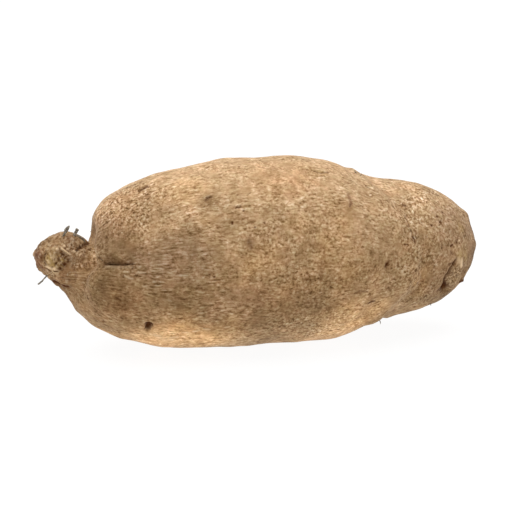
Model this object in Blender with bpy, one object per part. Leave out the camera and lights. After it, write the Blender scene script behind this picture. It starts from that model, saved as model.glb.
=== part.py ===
"""A yam tuber, lying on its side: one grown piece with a knobbed head, a full body and a blunt toe.

The length runs along X, with the head at -X and the toe at +X. -Y is the front, the side that shows the
dried crown, and +Z is up. The origin is on the surface the tuber lies on, below the middle of its box.
"""

import math
import random

import bmesh
import bpy
from mathutils import Matrix, Vector, noise

MM = 0.001

# Sections from head to toe, in mm. Each is the upper edge (x, z), the lower edge (x, z), the half depth
# along Y, and how far its middle stands from the XZ plane along Y. The first and the last are the tips.
SECTIONS = (
    ((-141, 60.5), (-141, 60.5), 0, -8),
    ((-139, 67.5), (-139, 53.5), 7, -8),
    ((-132.5, 73.5), (-133.5, 47.5), 12, -8),
    ((-123.5, 76), (-128, 43), 15, -7),
    ((-114, 74), (-124, 38.5), 16.5, -6),
    ((-104.5, 67.5), (-120.5, 34.5), 17.5, -5),
    ((-102.5, 72.5), (-118, 30.5), 21, -4),
    ((-103.5, 81), (-115.5, 25.5), 27, -3),
    ((-101.5, 87.5), (-111, 20), 33, -2),
    ((-93, 95), (-102.5, 14), 40, -1),
    ((-77, 102), (-87, 6.5), 47, 0),
    ((-53, 108.5), (-60.5, 1), 51.5, 0),
    ((-22.5, 114), (-25.5, -1), 54, 0),
    ((9, 115.5), (9, -0.5), 54, 0),
    ((37.5, 111), (36, 0.5), 52.5, 0),
    ((58, 102.5), (54, 4), 49, 1),
    ((73, 98), (70.5, 8.5), 45, 3),
    ((91.5, 95), (88, 12), 40, 5),
    ((110, 90), (104.5, 15), 34, 6),
    ((124.5, 80.5), (118, 20), 27, 7),
    ((133.5, 69.5), (127, 28), 19, 7),
    ((137.5, 58.5), (133.5, 37), 11, 7),
    ((138.5, 48.5), (138.5, 48.5), 0, 7),
)
RINGS_PER_SECTION = 4
POINTS_PER_RING = 56

# Swellings all over, and the rougher lumps of the knob: wavelength and height in mm
SWELLING = (42, 1.8)
LUMP = (15, 0.7)
KNOB_LUMP = (9, 2.4)
KNOB_END_X = (-118, -104)

# The fold where the body's shoulder hangs over the neck, on the front
FOLD_START = Vector((-110, -18, 59))
FOLD_END = Vector((-89, -42, 62))
FOLD_DEPTH = 4.0
FOLD_REACH = 11

# The crease round the knob's foot: the slanting plane that it lies in, and how deep and wide it is
NECK_MIDDLE = Vector((-114, -5, 54))
NECK_WAY = Vector((0.87, 0, -0.49))
CREASE_DEPTH = 2.2
CREASE_REACH = 4.5

# The step where the toe grows out from behind the body: its line bends back from X at mid height
STEP_X = 87
STEP_Z = 56
STEP_BEND = 0.0125
STEP_BULGE = 1.2
STEP_DROP = 2.4
STEP_FADE_Z = (45, 95)
STEP_LEFT_AT_TOP = 0.55

# The dried crown on the knob, and the scar of a broken side lobe on the toe
CROWN = Vector((-127, -18.5, 61))
CROWN_RADIUS = 7.5
CROWN_DEPTH = 2.8
CROWN_RIM = 0.9
SCAR = Vector((115.5, -18.5, 36))
SCAR_RADIUS = 7
SCAR_HEIGHT = 1.8

# The hole that a burrowing insect left low on the front
PIT = Vector((-77, -37.5, 23.5))
PIT_WAY = Vector((0.1, -0.76, -0.62))
PIT_RADIUS = 1.9
PIT_DEPTH = 3.0
PIT_CLEARANCE = 6.0
PIT_DRAFT = 0.12
PIT_SIDES = 10

# Root stubs on the knob: where each stands, where it points, its length and its radius
SEEN_STUBS = (
    (Vector((-123, -13, 74)), Vector((0.55, 0.1, 0.83)), 8.0, 0.95),
    (Vector((-116.5, -11, 73.5)), Vector((0.5, 0.1, 0.86)), 5.5, 0.85),
    (Vector((-133, -14.5, 52)), Vector((-0.73, 0, -0.68)), 7.0, 0.45),
)
KNOB_MIDDLE = Vector((-125, -7, 59))
KNOB_RADIUS = 14.5
HIDDEN_STUBS = 14
HIDDEN_SPREAD = 62
HIDDEN_LENGTH = (4, 7.5)
HIDDEN_RADIUS = (0.55, 0.9)
STUB_SIDES = 5
STUB_SINK = 4
STUB_TAPER = 0.55
STUB_SEED = 11

SKIN_COLOUR = (0.376, 0.223, 0.109, 1.0)
SKIN_ROUGHNESS = 0.85


def clear_scene():
    for old in list(bpy.data.objects):
        bpy.data.objects.remove(old)


def smooth(low, high, value):
    """0 below low, 1 above high, and a smooth rise between them."""
    share = min(1, max(0, (value - low) / (high - low)))
    return share * share * (3 - 2 * share)


def section_rows():
    """The sections as rows of numbers, with one more past each tip, so that the tips come out round."""
    rows = [(*upper, *lower, depth, side) for upper, lower, depth, side in SECTIONS]

    def past_tip(row):
        return (row[2], row[3], row[0], row[1], -row[4], row[5])

    return [past_tip(rows[1]), *rows, past_tip(rows[-2])]


def section_at(rows, place):
    """A smooth curve through the sections, where place counts them from the head."""
    first = min(int(place), len(rows) - 4)
    t = place - first
    weights = (
        -0.5 * t + t * t - 0.5 * t**3,
        1 - 2.5 * t * t + 1.5 * t**3,
        0.5 * t + 2 * t * t - 1.5 * t**3,
        -0.5 * t * t + 0.5 * t**3,
    )
    near = rows[first : first + 4]
    return [sum(w * row[i] for w, row in zip(weights, near)) for i in range(6)]


def ring_points(rows, place):
    upper_x, upper_z, lower_x, lower_z, depth, side = section_at(rows, place)
    middle = Vector(((upper_x + lower_x) / 2, side, (upper_z + lower_z) / 2))
    rise = Vector((upper_x, side, upper_z)) - middle
    across = Vector((0, depth, 0))
    angles = [math.tau * i / POINTS_PER_RING for i in range(POINTS_PER_RING)]
    return [middle + rise * math.cos(a) + across * math.sin(a) for a in angles]


def place_ring(ring, points):
    for vertex, point in zip(ring, points):
        vertex.co = point


def loft(bm):
    """The plain form: a fan at the head's tip, drawn out ring by ring and closed at the toe's tip."""
    rows = section_rows()
    steps = (len(SECTIONS) - 1) * RINGS_PER_SECTION
    bmesh.ops.create_circle(
        bm, cap_ends=True, cap_tris=True, segments=POINTS_PER_RING, radius=1
    )
    bm.verts.ensure_lookup_table()
    tip = max(bm.verts, key=lambda v: len(v.link_edges))
    ring = [v for v in bm.verts if v is not tip]
    tip.co = ring_points(rows, 0)[0]
    place_ring(ring, ring_points(rows, 1 / RINGS_PER_SECTION))
    edges = [e for e in bm.edges if tip not in e.verts]
    for step in range(2, steps + 1):
        grown = bmesh.ops.extrude_edge_only(bm, edges=edges)["geom"]
        edges = [g for g in grown if isinstance(g, bmesh.types.BMEdge)]
        ring = next_ring(ring, grown)
        place_ring(ring, ring_points(rows, step / RINGS_PER_SECTION))
    bmesh.ops.pointmerge(bm, verts=ring, merge_co=ring[0].co)
    bmesh.ops.recalc_face_normals(bm, faces=bm.faces)


def next_ring(ring, grown):
    """The new vertices of an extruded ring, in the order of the ring that they grew from."""
    new = {g for g in grown if isinstance(g, bmesh.types.BMVert)}
    return [
        next(v for e in old.link_edges for v in e.verts if v in new and v is not old)
        for old in ring
    ]


def swelling(point):
    """Uneven growth: long swellings, smaller lumps, and a rough knob."""
    wave, height = SWELLING
    rise = height * noise.noise(point / wave)
    wave, height = LUMP
    rise += height * noise.noise(point / wave)
    wave, height = KNOB_LUMP
    knob = 1 - smooth(*KNOB_END_X, point.x)
    return rise + knob * height * noise.noise(point / wave)


def shoulder_fold(point):
    """The shoulder's underside sinks towards the fold, and the neck's ridge stands out just below it."""
    along = FOLD_END - FOLD_START
    share = (point - FOLD_START).dot(along) / along.length_squared
    middle = FOLD_START + along * min(1, max(0, share))
    off = point - middle
    if abs(off.y) > 2 * FOLD_REACH or off.length > 3 * FOLD_REACH:
        return 0
    ends = smooth(-0.3, 0.25, share) * (1 - smooth(0.6, 1.3, share))
    above = off.z
    if above > 0:
        return -FOLD_DEPTH * ends * (1 - smooth(0, FOLD_REACH, above))
    return -FOLD_DEPTH * ends * (1 - smooth(0, FOLD_REACH / 3, -above))


def neck_crease(point):
    """A crease in the neck's plane, deep below and behind, and gone where the neck's ridge runs on."""
    off = point - NECK_MIDDLE
    if off.length > 2 * KNOB_RADIUS:
        return 0
    across = abs(off.dot(NECK_WAY)) / CREASE_REACH
    below = 1 - smooth(-16, -7, off.z)
    behind = smooth(-2, 10, off.y)
    return -CREASE_DEPTH * (1 - smooth(0, 1, across)) * max(below, behind)


def toe_step(point):
    """The body ends in a rounded edge, with the toe lower behind it. It fades towards the top and the back."""
    past = point.x - (STEP_X - STEP_BEND * (point.z - STEP_Z) ** 2)
    front = (1 - smooth(-20, 25, point.y)) * (1 - (1 - STEP_LEFT_AT_TOP) * smooth(*STEP_FADE_Z, point.z))
    edge = STEP_BULGE * smooth(-24, -4, past) * (1 - smooth(-3, 2, past))
    drop = STEP_DROP * smooth(-3, 2, past) * (1 - smooth(4, 30, past))
    return front * (edge - drop)


def crown(point):
    """A dished scar with a rim, where the vine dried off."""
    far = (point - CROWN).length / CROWN_RADIUS
    dish = -CROWN_DEPTH * (1 - smooth(0.35, 0.9, far))
    rim = CROWN_RIM * smooth(0.6, 1, far) * (1 - smooth(1, 1.5, far))
    return dish + rim


def broken_scar(point):
    """A low plug with a torn groove on the side towards the body."""
    off = point - SCAR
    far = off.length / SCAR_RADIUS
    plug = SCAR_HEIGHT * (1 - smooth(0.6, 1.1, far))
    groove = SCAR_HEIGHT * smooth(0.7, 1, far) * (1 - smooth(1.1, 1.6, far))
    return plug - groove * (1 - smooth(-0.2, 0.5, off.x / SCAR_RADIUS))


def add_relief(bm):
    bm.normal_update()
    forms = (swelling, shoulder_fold, neck_crease, toe_step, crown, broken_scar)
    moves = [(v, v.normal * sum(form(v.co) for form in forms)) for v in bm.verts]
    for vertex, move in moves:
        vertex.co += move


def flatten_underside(bm):
    """The small flat spot that the tuber rests on, at Z 0."""
    cut = bmesh.ops.bisect_plane(
        bm,
        geom=[*bm.verts, *bm.edges, *bm.faces],
        plane_co=(0, 0, 0),
        plane_no=(0, 0, 1),
        clear_inner=True,
    )
    rim = [g for g in cut["geom_cut"] if isinstance(g, bmesh.types.BMEdge)]
    bmesh.ops.contextual_create(bm, geom=rim)


def centre_on_box(bm):
    """Puts the middle of the tuber's box on the Z axis."""
    for axis in (0, 1):
        places = [v.co[axis] for v in bm.verts]
        middle = (min(places) + max(places)) / 2
        for vertex in bm.verts:
            vertex.co[axis] -= middle


def finish_object(bm, name):
    bmesh.ops.scale(bm, vec=(MM, MM, MM), verts=bm.verts)
    mesh = bpy.data.meshes.new(name)
    bm.to_mesh(mesh)
    bm.free()
    made = bpy.data.objects.new(name, mesh)
    bpy.context.scene.collection.objects.link(made)
    return made


def make_body():
    bm = bmesh.new()
    loft(bm)
    add_relief(bm)
    flatten_underside(bm)
    return finish_object(bm, "yam_tuber")


def stub_places():
    """The stubs that show from the front, then stubs spread over the knob's back by the golden angle."""
    draw = random.Random(STUB_SEED)
    yield from SEEN_STUBS
    golden = math.pi * (3 - math.sqrt(5))
    for i in range(HIDDEN_STUBS):
        lean = math.radians(HIDDEN_SPREAD * math.sqrt((i + 0.5) / HIDDEN_STUBS))
        turn = golden * i
        way = Vector((math.sin(lean) * math.cos(turn), math.cos(lean), math.sin(lean) * math.sin(turn)))
        length = draw.uniform(*HIDDEN_LENGTH) * math.cos(lean)
        yield KNOB_MIDDLE + KNOB_RADIUS * way, way, length, draw.uniform(*HIDDEN_RADIUS)


def make_stub(number, foot, way, length, radius):
    """A dried root, broken off short: a tapered prism that starts deep in the knob."""
    bm = bmesh.new()
    way = way.normalized()
    middle = foot + way * (length - STUB_SINK) / 2
    turn = way.to_track_quat("Z", "Y").to_matrix().to_4x4()
    bmesh.ops.create_cone(
        bm,
        cap_ends=True,
        segments=STUB_SIDES,
        radius1=radius,
        radius2=STUB_TAPER * radius,
        depth=length + STUB_SINK,
        matrix=Matrix.Translation(middle) @ turn,
    )
    return finish_object(bm, f"stub_{number}")


def make_pit():
    """The cutter for the insect's hole, a cone that narrows into the body."""
    bm = bmesh.new()
    way = PIT_WAY.normalized()
    middle = PIT + way * (PIT_CLEARANCE - PIT_DEPTH) / 2
    turn = way.to_track_quat("Z", "Y").to_matrix().to_4x4()
    bmesh.ops.create_cone(
        bm,
        cap_ends=True,
        segments=PIT_SIDES,
        radius1=PIT_RADIUS * (1 - PIT_DRAFT * PIT_DEPTH),
        radius2=PIT_RADIUS * (1 + PIT_DRAFT * PIT_CLEARANCE),
        depth=PIT_CLEARANCE + PIT_DEPTH,
        matrix=Matrix.Translation(middle) @ turn,
    )
    return finish_object(bm, "pit_cutter")


def apply_boolean(target, operation, helpers):
    """Joins the helpers to the target, or cuts them from it, and removes them."""
    group = bpy.data.collections.new("helpers")
    bpy.context.scene.collection.children.link(group)
    for helper in helpers:
        bpy.context.scene.collection.objects.unlink(helper)
        group.objects.link(helper)
    boolean = target.modifiers.new(operation.lower(), "BOOLEAN")
    boolean.operation = operation
    boolean.operand_type = "COLLECTION"
    boolean.collection = group
    boolean.solver = "EXACT"
    graph = bpy.context.evaluated_depsgraph_get()
    joined = bpy.data.meshes.new_from_object(target.evaluated_get(graph))
    target.modifiers.clear()
    target.data = joined
    for helper in helpers:
        bpy.data.objects.remove(helper)
    bpy.data.collections.remove(group)


def skin_material():
    skin = bpy.data.materials.new("corky_skin")
    skin.use_nodes = True
    shader = skin.node_tree.nodes["Principled BSDF"]
    shader.inputs["Base Color"].default_value = SKIN_COLOUR
    shader.inputs["Roughness"].default_value = SKIN_ROUGHNESS
    shader.inputs["Metallic"].default_value = 0.0
    return skin


def main():
    clear_scene()
    tuber = make_body()
    stubs = [make_stub(i, *stub) for i, stub in enumerate(stub_places())]
    apply_boolean(tuber, "UNION", stubs)
    apply_boolean(tuber, "DIFFERENCE", [make_pit()])
    bm = bmesh.new()
    bm.from_mesh(tuber.data)
    centre_on_box(bm)
    bm.to_mesh(tuber.data)
    bm.free()
    tuber.data.shade_smooth()
    tuber.data.materials.clear()
    tuber.data.materials.append(skin_material())


main()
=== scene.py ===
"""A whole yam tuber lying on its side: corky brown skin, a knobbly crown end and dried root stubs."""

import math
import random

import bmesh
import bpy
from mathutils import Matrix, Vector, noise
from mathutils.bvhtree import BVHTree


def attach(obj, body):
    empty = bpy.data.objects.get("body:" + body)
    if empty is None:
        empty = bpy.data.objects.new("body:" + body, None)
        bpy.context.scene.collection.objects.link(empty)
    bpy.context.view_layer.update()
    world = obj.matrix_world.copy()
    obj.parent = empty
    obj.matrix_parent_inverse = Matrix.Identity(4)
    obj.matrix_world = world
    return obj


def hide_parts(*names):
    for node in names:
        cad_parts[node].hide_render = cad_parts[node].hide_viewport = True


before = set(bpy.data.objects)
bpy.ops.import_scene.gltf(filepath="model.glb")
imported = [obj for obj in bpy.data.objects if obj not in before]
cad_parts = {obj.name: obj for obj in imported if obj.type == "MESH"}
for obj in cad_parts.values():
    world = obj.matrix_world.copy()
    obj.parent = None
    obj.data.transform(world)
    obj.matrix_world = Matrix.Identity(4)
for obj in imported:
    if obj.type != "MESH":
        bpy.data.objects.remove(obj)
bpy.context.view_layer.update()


# The skin.
# One living skin goes round the whole yam: body, neck, crown knob and the toe where a second lobe broke off.
# It is dry cork over starch, cracked into fine lengthwise fibres, and it grew in one piece with the body.

MM = 0.001

GRAIN = 0.00142            # size of the mesh cells that carry the skin's relief
THIN_LIMIT = 0.0028        # a wall thinner than this is a dried root, not the body

NECK = Vector((-0.112, -0.006, 0.054))     # where the fibres start
TOE = Vector((0.139, 0.007, 0.0485))       # where they end
GIRTH_LEAST = 18 * MM      # fibres keep this girth at the neck, and widen with
GIRTH_SHARE = 0.65         # this share of the body's own radius

KNOB_MIDDLE = Vector((-0.125, -0.007, 0.059))
KNOB_REACH = 21 * MM

CRACK = ((-101.0, -32.6, 61.6), (-98.8, -34.7, 62.0), (-94.1, -39.0, 62.6), (-90.4, -41.9, 63.0),
         (-87.2, -43.8, 63.6), (-84.0, -45.4, 63.8))
PIT = ((-76.4, -38.3, 27.2), (-77.3, -37.0, 23.6))
PIT_RADIUS = 2.3
PIT_DEPTH = 2.4
PLUG = Vector((114.5, -21.5, 38.5))       # the rough broken stub of the next lobe, on the toe
PLUG_RADIUS = 10.5
PLUG_BACK = 107                           # the stub's edge towards the body

# The relief, in millimetres: a height, then how long or wide its waves are
SWELL = (0.42, 15)         # slow swellings of the whole body
DIMPLE = (0.24, 7)         # dimples between them
WELT = (0.22, 20, 6.5)     # welts along the fibres: height, length, width
RIDGE = (0.13, 5.5, 2.7)   # finer ridges on them
KNUCKLE = (0.6, 4.2)       # lumps of the crown
KNOT = (0.35, 1.9)         # knots on those
GRIT = (0.2, 0.9)          # and grit on those
PLATE = (0.35, 3.6)        # scaly plates of the crown
FRECKLE = 1.3              # width of the crown's dark and pale freckles
LOBE = (0.5, 3.1)          # lumps of the plug
CRUMB = (0.6, 0.95)        # crumbs on them
VALLEY = (1.5, 3.2)        # how far the skin sinks above the crack, and how wide
LIP = (0.45, 1.6)          # the lip that stands up under it
CLEFT = (1.1, 0.4)         # the open crack

# Marks of growth and wear, and painted shade and highlights: a place or a line in millimetres, half width,
# height, what shows there, how much.
# A sharp mark is matched along the skin, and one of BROAD_MARK or more by plain distance.
BROAD_MARK = 3
SHARP_MARK = 1.2           # the mesh is made finer round a mark narrower than this
MARKS = (
    # The ochre heart of the crown and the ruddy lump beside it; the small cream and pale dots on them are
    # painted highlights.
    (((-130.3, -20.2, 62.9),), 3.2, 1.5, "ochre", 1.3),
    (((-129.3, -19.9, 60.0),), 2.4, 0.8, "ochre", 1.2),
    (((-130.5, -20.5, 66.9), (-130.0, -20.5, 66.1)), 0.7, 0.2, "cream_and_highlight", 0.45),
    (((-129.8, -20.9, 64.6), (-128.8, -20.7, 64.0)), 0.75, 0.2, "cream_and_highlight", 0.8),
    (((-131.9, -20.9, 62.8), (-131.5, -20.9, 61.6)), 0.75, 0.2, "cream_and_highlight", 0.7),
    (((-128.4, -19.6, 63.6), (-128.2, -19.6, 61.8)), 0.7, 0.3, "cream_and_highlight", 0.65),
    (((-130.4, -20.1, 61.2),), 1.0, 0.2, "pale_and_highlight", 0.5),
    (((-133.3, -19.8, 67.0), (-133.7, -19.6, 63.0), (-133.2, -19.5, 59.6)), 0.8, -1.0, "deep", 0.7),
    (((-136.8, -17.2, 65.2),), 3.0, 1.4, "rust", 1.25),
    (((-137.3, -15.9, 64.6),), 2.4, 0.3, "rust", 0.8),
    (((-136.3, -18.7, 65.8),), 0.8, 0.3, "pale_and_highlight", 0.6),
    (((-135.4, -18.9, 63.9),), 0.7, -0.3, "deep", 0.8),
    (((-138.2, -13.0, 66.4), (-138.4, -13.4, 63.0), (-137.2, -13.2, 58.0)), 1.6, 0.0, "deep", 0.65),
    (((-134.9, -18.9, 62.4),), 0.9, -0.5, "deep", 0.7),
    (((-137.4, -15.8, 64.6),), 1.0, -0.4, "deep", 0.7),
    (((-136.3, -15.6, 60.0), (-134.4, -16.4, 56.2)), 1.8, 0.4, "rust", 0.45),
    # The moat of rotted fibres round the heart, its pits and crumbs.
    (((-124.6, -19.8, 67.4), (-121.4, -19.6, 65.4), (-120.0, -20.2, 62.4), (-121.0, -20.5, 59.4),
      (-124.2, -20.6, 57.0)), 2.5, -0.9, "deep", 0.58),
    (((-127.1, -18.8, 60.3),), 1.0, -0.7, "deep", 1.15),
    (((-122.4, -19.5, 59.7),), 1.4, -0.9, "deep", 1.3),
    (((-119.6, -20.8, 62.0), (-120.1, -20.3, 60.8)), 0.9, -0.7, "deep", 1.2),
    (((-125.0, -19.8, 57.2),), 1.15, -0.7, "deep", 1.15),
    (((-123.7, -19.8, 66.2), (-122.9, -19.8, 65.0)), 0.85, -0.6, "deep", 1.1),
    (((-121.3, -19.3, 64.1),), 0.9, -0.6, "deep", 1.2),
    (((-125.6, -19.2, 63.0),), 0.7, -0.5, "deep", 0.7),
    (((-123.4, -19.6, 62.2),), 0.9, 0.6, "ochre", 1.3),
    (((-124.9, -19.4, 65.2),), 0.6, 0.4, "ochre", 0.9),
    (((-123.9, -20.0, 59.0),), 0.6, 0.5, "ochre", 0.9),
    (((-121.2, -19.8, 61.6),), 0.5, 0.4, "ochre", 0.8),
    # The torn flap with a painted shadow under it, and the pale rim under the heart.
    (((-132.6, -19.2, 58.8), (-130.3, -20.1, 57.9), (-126.8, -19.9, 56.7)), 1.1, 0.8, "cream_and_highlight", 0.85),
    (((-132.4, -19.2, 57.2), (-129.1, -19.9, 55.8), (-126.3, -19.9, 55.6)), 0.55, -0.5, "deep", 0.9),
    (((-125.9, -19.8, 56.5),), 0.6, 0.5, "cream_and_highlight", 0.8),
    (((-131.4, -17.6, 55.1), (-129.7, -17.9, 54.4), (-126.2, -19.6, 54.4)), 0.6, 0.3, "cream_and_highlight", 0.25),
    # Pale strokes and crumbs round the crown; the bright specks among them are painted highlights.
    (((-123.5, -19.8, 69.3), (-121.3, -19.9, 67.2), (-119.0, -19.8, 65.3)), 0.65, 0.7, "cream_and_highlight", 1.0),
    (((-118.4, -19.6, 63.6), (-118.1, -20.1, 60.3), (-119.3, -21.4, 58.3)), 0.8, 0.5, "pale_and_highlight", 0.4),
    (((-126.4, -19.4, 69.4), (-125.9, -19.4, 68.8)), 0.9, 0.3, "cream_and_highlight", 1.6),
    (((-122.3, -18.4, 70.7), (-121.8, -18.4, 70.3)), 0.7, 0.3, "cream_and_highlight", 0.9),
    (((-120.5, -18.6, 68.3), (-119.9, -18.6, 67.9)), 0.7, 0.3, "cream_and_highlight", 0.95),
    (((-117.2, -18.5, 67.1), (-116.0, -18.3, 66.7)), 0.65, 0.3, "cream_and_highlight", 0.8),
    (((-113.3, -18.4, 64.6), (-112.4, -17.8, 64.8)), 0.8, 0.3, "cream_and_highlight", 0.9),
    (((-109.8, -16.1, 62.9),), 0.9, 0.2, "cream_and_highlight", 0.9),
    (((-104.5, -15.2, 62.2),), 0.8, 0.2, "cream_and_highlight", 0.8),
    (((-110.0, -16.6, 60.0),), 0.9, 0.2, "cream_and_highlight", 0.85),
    (((-106.4, -15.0, 64.4), (-105.2, -15.0, 64.2)), 0.8, 0.2, "cream_and_highlight", 0.7),
    (((-118.4, -13.9, 74.0),), 2.8, 0.3, "rust", 0.6),
    (((-118.5, -13.8, 73.6), (-116.3, -14.3, 72.2)), 0.45, 0.4, "pale_and_highlight", 0.9),
    (((-115.3, -11.0, 74.0),), 1.0, -0.4, "deep", 0.75),
    (((-122.1, -14.2, 73.8),), 0.7, -0.3, "deep", 0.6),
    (((-123.6, -16.2, 72.6),), 0.6, -0.3, "deep", 0.6),
    (((-128.6, -17.4, 70.6), (-126.0, -17.8, 71.4)), 0.6, -0.5, "deep", 0.5),
    (((-131.4, -18.2, 68.6),), 1.3, 0.6, "pale_and_highlight", 0.35),
    # Creases where the crown meets the neck, darkened with painted shade, and a band of painted shade under
    # the knob.
    (((-106.9, -6.4, 68.5), (-108.4, -9.7, 68.8), (-110.5, -13.1, 68.4), (-112.9, -14.7, 67.7),
      (-114.8, -17.2, 66.7)), 0.95, -1.0, "deep", 0.8),
    (((-117.0, -20.9, 57.5), (-115.8, -21.2, 53.5), (-116.7, -21.3, 49.9)), 0.9, -0.6, "deep", 0.4),
    (((-122.6, -20.8, 53.2),), 3.6, 0.6, "rust", 0.35),
    (((-127.2, -11.6, 48.2), (-125.4, -13.4, 46.8), (-123.2, -14.6, 45.8), (-121.3, -15.8, 45.4)),
     2.5, -0.9, "deep", 1.7),
    (((-119.9, -20.3, 50.5),), 0.8, -0.5, "deep", 0.7),
    (((-113.8, -19.0, 61.8),), 0.7, -0.3, "deep", 0.6),
    (((-111.5, -18.4, 58.0), (-109.8, -17.8, 57.4)), 0.7, -0.3, "deep", 0.55),
    (((-103.4, -29.2, 65.3), (-102.4, -31.4, 64.7), (-102.0, -32.6, 63.6)), 0.7, -1.0, "deep", 0.9),
    (((-111.2, -23.2, 50.4), (-107.0, -24.0, 51.4)), 0.8, -0.4, "deep", 0.5),
    # Slits, dents and dots of the body; the slits are darkened with painted shade, and the pale lines along
    # them are painted highlights.
    (((-77.7, -14.2, 100.0), (-75.3, -13.6, 100.9), (-72.5, -12.6, 101.7)), 1.1, -0.8, "deep", 0.95),
    (((-42.2, -34.2, 96.9), (-40.6, -33.4, 97.7), (-38.2, -33.3, 97.9)), 0.6, -0.7, "deep", 0.95),
    (((-42.6, -33.4, 98.2), (-39.6, -32.6, 98.7)), 0.5, 0.3, "pale_and_highlight", 0.8),
    (((-26.2, -41.5, 92.8), (-25.0, -41.5, 93.2), (-23.2, -41.4, 93.3)), 0.6, -0.6, "deep", 1.1),
    (((-21.8, -43.5, 91.8),), 0.6, -0.4, "deep", 1.1),
    (((-27.0, -40.8, 94.2), (-23.0, -41.0, 94.8)), 0.5, 0.3, "pale_and_highlight", 0.6),
    (((-18.6, -37.1, 99.0), (-15.9, -36.1, 100.3)), 0.4, -0.3, "deep", 0.3),
    (((-29.1, -46.0, 86.2), (-29.0, -46.2, 85.2)), 0.6, -0.5, "deep", 1.3),
    (((-20.3, -50.4, 76.2), (-19.6, -51.4, 73.4), (-18.8, -51.7, 71.6)), 1.4, -0.5, "deep", 0.75),
    (((-19.6, -51.0, 74.2),), 2.6, -0.2, "rust", 0.45),
    (((-16.3, -48.5, 82.8),), 0.6, -0.4, "deep", 1.2),
    (((-10.6, -47.3, 85.0),), 0.6, -0.4, "deep", 1.0),
    (((12.0, -40.8, 94.0),), 0.6, -0.4, "deep", 0.7),
    (((-40.5, -52.5, 56.1),), 0.6, -0.4, "deep", 1.3),
    (((-43.3, -51.9, 57.4),), 0.6, -0.4, "deep", 1.2),
    (((25.2, -21.4, 109.0), (29.0, -22.0, 108.0), (34.2, -20.0, 107.7)), 0.8, -0.5, "deep", 0.7),
    (((27.7, -21.1, 108.8), (32.0, -21.5, 107.7)), 2.3, -0.2, "ochre", 0.6),
    (((26.4, -20.0, 109.6), (31.6, -19.6, 109.0)), 0.7, 0.3, "cream_and_highlight", 0.6),
    (((42.0, -39.0, 90.2), (43.8, -36.8, 92.2), (43.3, -34.6, 94.6), (43.0, -32.0, 96.8)),
     1.4, -0.2, "rust", 0.7),
    (((42.4, -38.6, 90.6), (43.6, -37.4, 91.6)), 0.7, -0.3, "deep", 0.35),
    (((58.0, -18.4, 98.0), (60.4, -19.0, 96.7)), 0.7, -0.5, "deep", 0.7),
    (((64.5, -44.5, 56.6), (63.2, -45.0, 55.2)), 1.2, -1.2, "deep", 1.6),
    (((63.8, -45.0, 55.6),), 2.4, -0.4, "deep", 0.12),
    (((43.3, -51.9, 60.3),), 2.0, -0.3, "deep", 0.3),
    (((21.9, -53.6, 62.4), (22.0, -53.6, 60.8)), 1.3, -0.2, "deep", 0.35),
    (((22.0, -53.6, 57.6), (21.8, -53.6, 53.0)), 1.9, -0.2, "deep", 0.33),
    (((12.4, -53.6, 52.6), (14.9, -53.3, 50.4), (17.0, -53.0, 49.6)), 1.2, -0.4, "deep", 0.55),
    (((13.4, -53.8, 55.1),), 1.2, -0.3, "deep", 0.4),
    (((43.1, -48.9, 40.4), (46.1, -48.8, 42.0), (52.0, -47.0, 40.6)), 0.55, -0.4, "deep", 0.65),
    (((53.5, -42.7, 32.2), (55.3, -42.5, 32.9), (57.4, -41.5, 33.3)), 0.7, -1.0, "deep", 1.6),
    (((-101.6, -26.8, 26.0),), 1.0, -0.8, "deep", 0.85),
    (((-94.4, -41.5, 43.6), (-89.5, -42.5, 39.7), (-84.5, -43.3, 37.6)), 3.2, -0.3, "deep", 0.27),
    (((-67.4, -49.9, 45.1), (-60.5, -49.7, 39.9)), 3.2, -0.3, "deep", 0.27),
    (((-90.2, -44.0, 57.5), (-88.0, -45.0, 56.4), (-85.8, -45.9, 55.8)), 0.55, 0.3, "pale_and_highlight", 0.9),
    (((-84.0, -46.0, 59.2), (-79.0, -47.4, 59.6)), 0.45, 0.2, "pale_and_highlight", 0.5),
    # Fresh streaks where the skin was rubbed low on the flank.
    (((-71.4, -35.2, 18.0), (-67.5, -35.0, 15.6), (-63.7, -35.0, 15.2)), 2.8, 0.2, "cream_and_highlight", 0.3),
    (((-73.4, -35.4, 19.6), (-69.6, -36.0, 18.9)), 0.8, 0.3, "cream_and_highlight", 0.5),
    (((-64.5, -36.6, 17.0), (-59.6, -37.4, 17.4)), 0.8, 0.3, "cream_and_highlight", 0.5),
    (((-57.6, -40.5, 20.6), (-54.0, -40.9, 20.9)), 0.7, 0.3, "cream_and_highlight", 0.45),
    (((-51.4, -42.2, 21.6), (-48.0, -42.8, 22.2)), 0.8, 0.3, "cream_and_highlight", 0.4),
    (((-45.7, -43.6, 23.4), (-42.0, -43.4, 22.8)), 0.7, 0.3, "cream_and_highlight", 0.45),
    (((-33.4, -44.4, 23.6), (-30.4, -44.4, 23.8)), 0.7, 0.3, "cream_and_highlight", 0.4),
    (((37.7, -38.1, 18.7), (40.9, -37.4, 18.8)), 0.8, 0.3, "cream_and_highlight", 0.4),
    # The toe: the edge where the next lobe swelled, and the line of its bulge, painted pale as a highlight,
    # with painted shade in the groove under it.
    (((80.4, -26.3, 81.0), (81.1, -28.5, 78.2), (81.6, -31.6, 74.0), (82.2, -33.9, 70.4)),
     0.7, -0.3, "deep", 0.35),
    (((82.6, -34.3, 69.6), (83.3, -34.8, 67.4), (83.6, -35.1, 66.2)), 0.8, -0.6, "deep", 1.3),
    (((88.6, -33.2, 46.1), (88.4, -31.6, 42.0), (87.9, -30.4, 38.4), (83.9, -30.0, 34.2),
      (79.4, -28.4, 29.7)), 0.9, 0.3, "pale_and_highlight", 0.38),
    (((91.0, -32.4, 44.6), (90.4, -28.4, 36.4), (86.0, -27.6, 31.4)), 1.3, -0.35, "deep", 0.35),
    (((117.5, -21.4, 62.3),), 0.6, 0.3, "cream_and_highlight", 1.2),
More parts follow.
